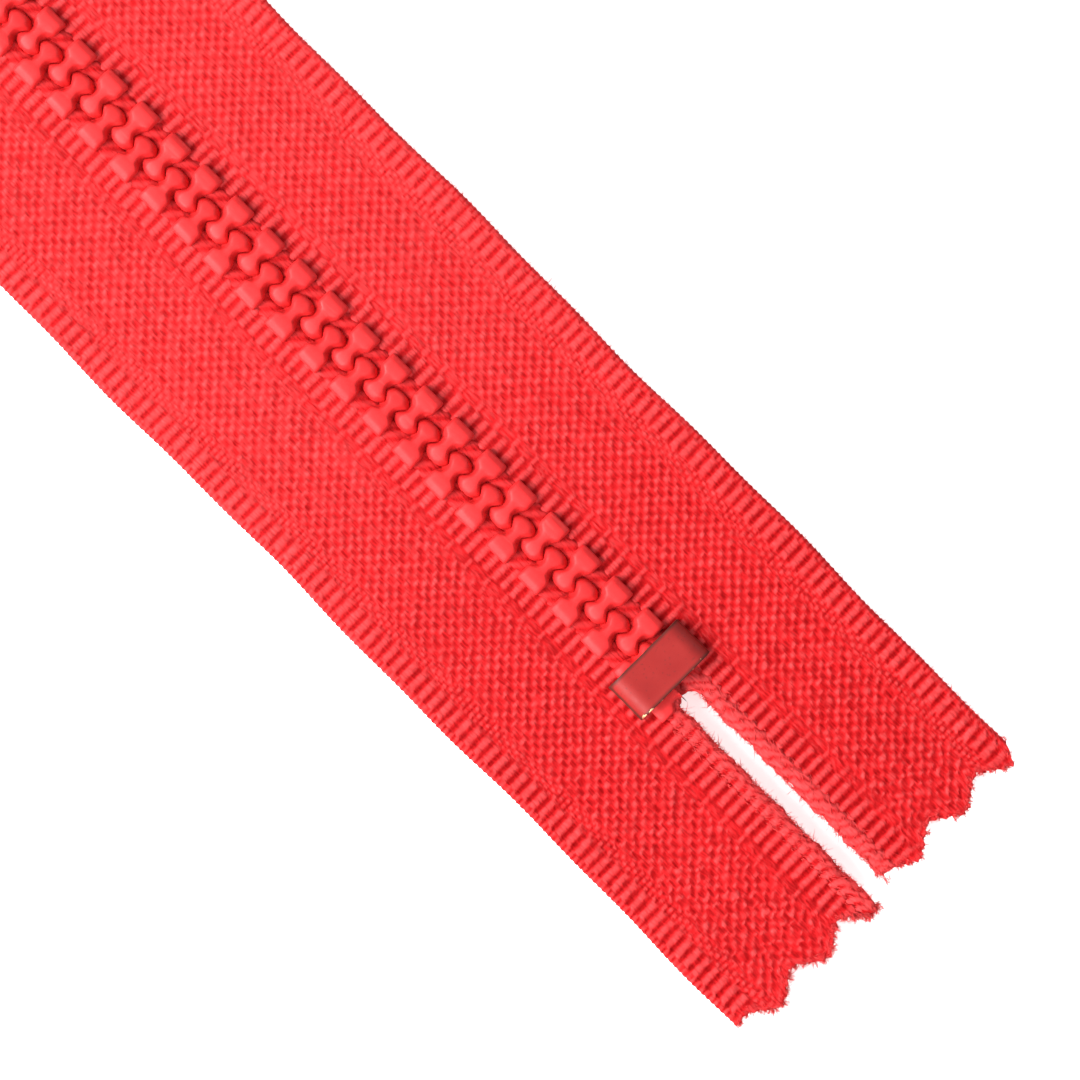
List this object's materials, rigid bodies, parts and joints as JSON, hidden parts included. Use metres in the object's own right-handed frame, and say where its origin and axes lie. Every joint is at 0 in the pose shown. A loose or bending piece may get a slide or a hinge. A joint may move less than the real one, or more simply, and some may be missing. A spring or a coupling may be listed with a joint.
{
  "type": "zipper",
  "caption": "Closed-end zipper with moulded plastic teeth on two woven tapes, metal stops, and a locking slider with a pull tab.",
  "frame": {"origin": "middle of the tapes' overall length, on the centre line of the chain, on the plane that the slider's underside rests on", "axes": "+Y up the closed chain from the bottom stop to the slider, +X towards the right-hand tape, +Z out of the face with the pull tab"},
  "size_m": [0.032, 0.2052, 0.008],
  "materials": {
    "tape": "woven polyester, matt with a faint sheen",
    "tooth_plastic": "moulded, satin gloss",
    "stop_metal": "painted, worn to bare brass at the cut edges",
    "slider_metal": "painted die casting, satin gloss",
    "spring_steel": "bright spring strip"
  },
  "bodies": {
    "lower_end": {"bottom_stop": "stop_metal", "left_tape_tail": "tape", "right_tape_tail": "tape", "left_tail_cord": "tape", "right_tail_cord": "tape", "left_tape_bend": "tape", "right_tape_bend": "tape", "left_held_teeth": "tooth_plastic", "right_held_teeth": "tooth_plastic"},
    "left_stringer": {"left_tape": "tape", "left_cord": "tape", "left_teeth": "tooth_plastic", "left_top_stop": "stop_metal"},
    "right_stringer": {"right_tape": "tape", "right_cord": "tape", "right_teeth": "tooth_plastic", "right_top_stop": "stop_metal"},
    "slider": {"slider_body": "slider_metal", "slider_cap": "slider_metal"},
    "lock": {"lock_spring": "spring_steel"},
    "tab": {"pull_tab": "slider_metal"}
  },
  "joints": [
    {"name": "slider_slide", "type": "slide", "parent": "lower_end", "child": "slider", "axis": [0, -1, 0], "range_m": [0, 0.13478]},
    {"name": "left_open", "type": "hinge", "parent": "lower_end", "child": "left_stringer", "pos_m": [-0.0021, -0.07369, 0.0023], "axis": [0, 0, 1], "range_deg": [0, 12.5], "deforming": ["left_teeth", "left_cord", "left_tape_bend"]},
    {"name": "right_open", "type": "hinge", "parent": "lower_end", "child": "right_stringer", "pos_m": [0.0021, -0.07369, 0.0023], "axis": [0, 0, 1], "range_deg": [-12.5, 0], "deforming": ["right_teeth", "right_cord", "right_tape_bend"]},
    {"name": "tab_swing", "type": "hinge", "parent": "slider", "child": "tab", "pos_m": [0, 0.06749, 0.0058], "axis": [-1, 0, 0], "range_deg": [0, 175]},
    {"name": "lock_lift", "type": "hinge", "parent": "slider", "child": "lock", "pos_m": [0, 0.07122, 0.00473], "axis": [-1, 0, 0], "range_deg": [0, 4.5]}
  ],
  "couplings": [
    {"joint": "left_open", "follows": "slider_slide", "rad_per_m": 1.6186},
    {"joint": "right_open", "follows": "slider_slide", "rad_per_m": -1.6186},
    {"joint": "lock_lift", "follows": "tab_swing", "ratio": 0.0257}
  ]
}
